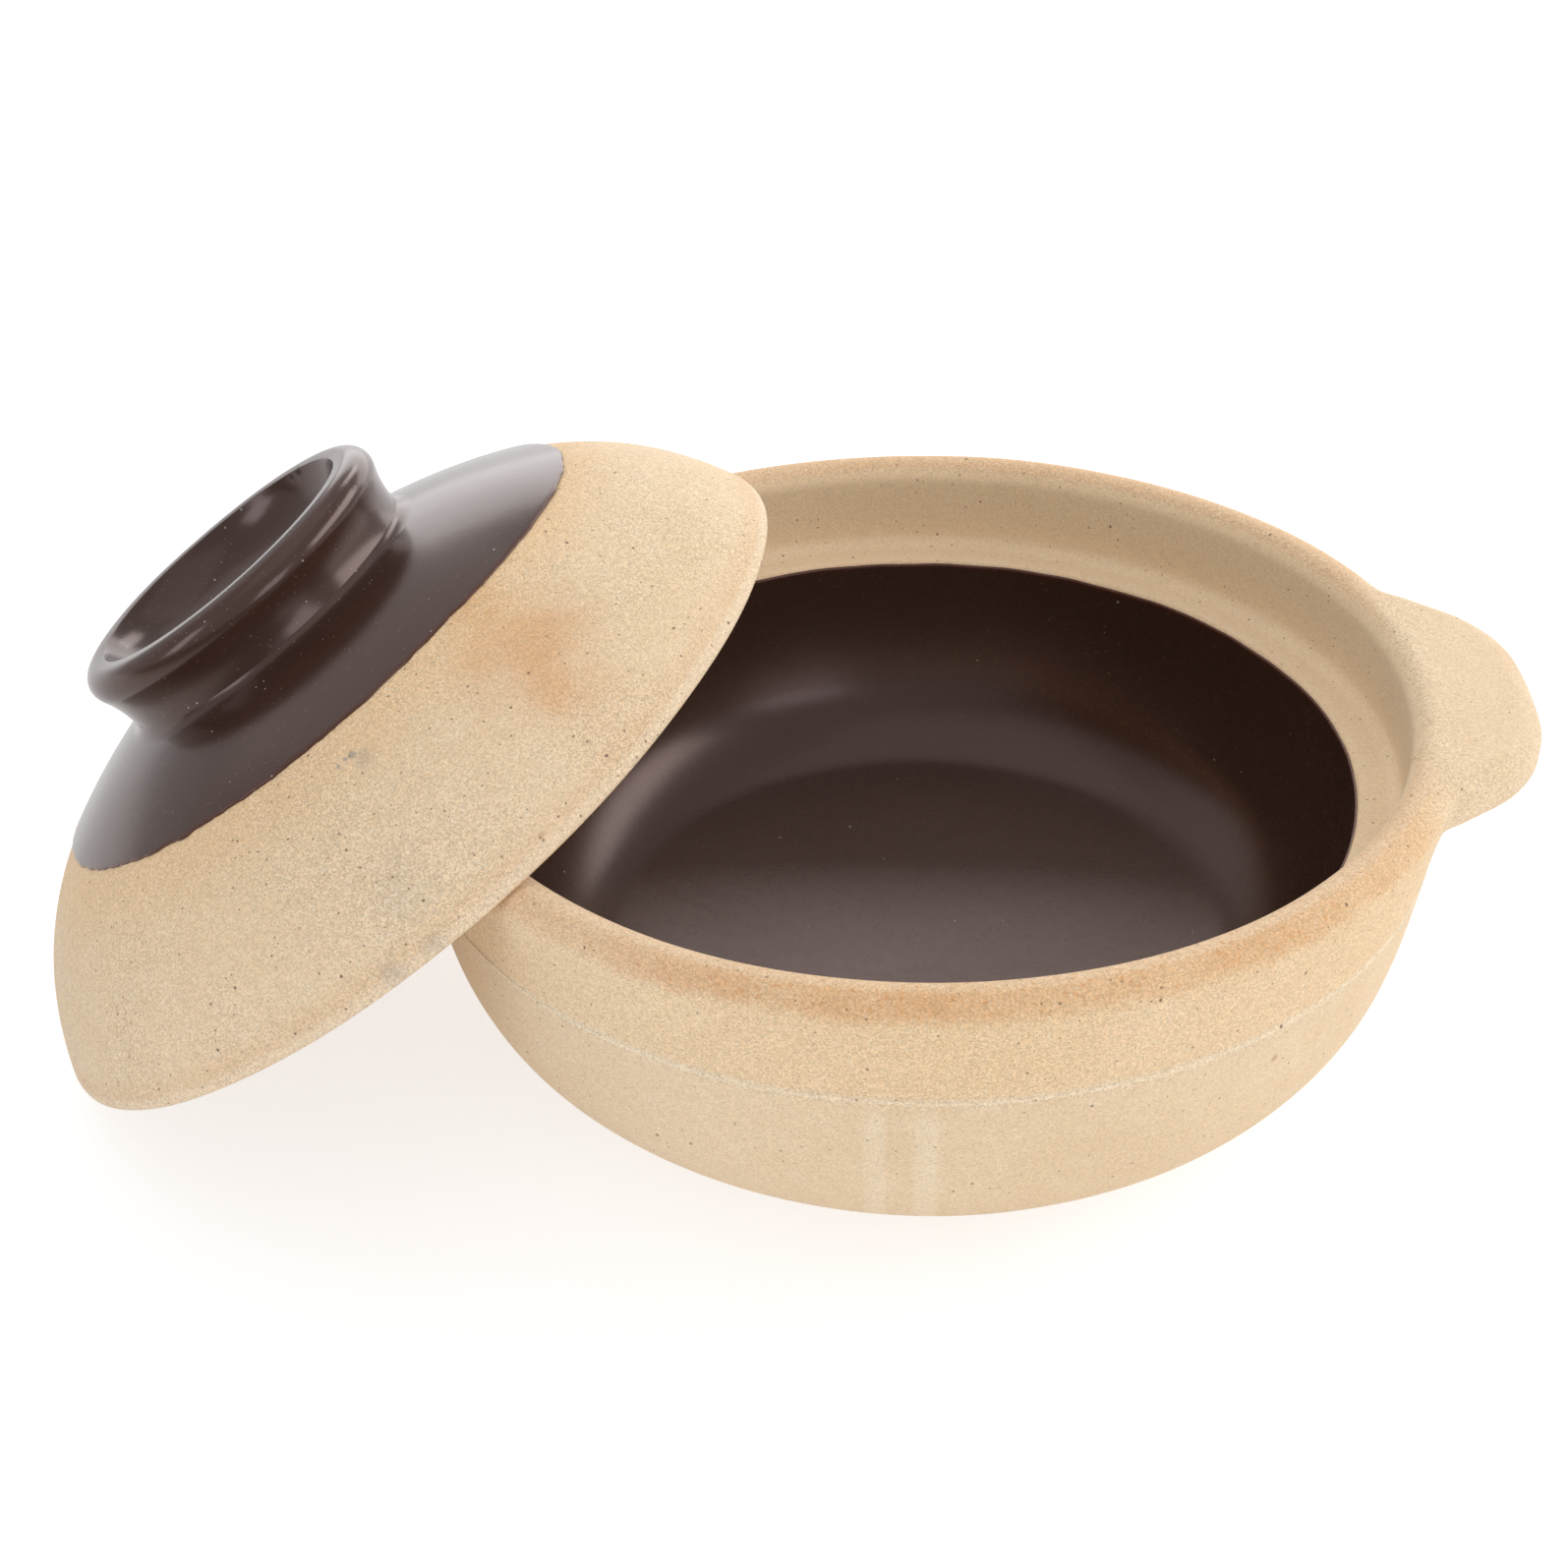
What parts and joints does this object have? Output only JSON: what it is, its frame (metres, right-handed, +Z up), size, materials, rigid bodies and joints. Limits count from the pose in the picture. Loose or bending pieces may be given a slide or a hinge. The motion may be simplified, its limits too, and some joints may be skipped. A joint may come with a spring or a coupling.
{
  "type": "ceramic cocotte",
  "caption": "Small round stoneware pot with lug handles, an inner ledge and a loose domed lid with a ring knob, leaning on the pot's rim.",
  "frame": {"origin": "centre of the pot's flat base, on the surface that it stands on", "axes": "+Z up along the pot's axis, +X through the right-hand lug, so the lid leans on the -X side"},
  "size_m": [0.2747, 0.19, 0.1108],
  "materials": {
    "bare_clay": "unglazed sandy buff stoneware, dry and fine-grained",
    "brown_glaze": "dark chocolate-brown satin glaze"
  },
  "bodies": {
    "pot": {"pot_body": "bare_clay", "handle_right": "bare_clay", "handle_left": "bare_clay", "pot_glaze": "brown_glaze"},
    "lid": {"lid_shell": "bare_clay", "lid_knob": "bare_clay", "lid_crown_glaze": "brown_glaze", "lid_knob_glaze": "brown_glaze"}
  },
  "joints": [
    {"name": "lid_lift", "type": "slide", "parent": "pot", "child": "lid", "axis": [-0.5788, 0.0273, 0.815], "range_m": [0, 0.2]}
  ]
}
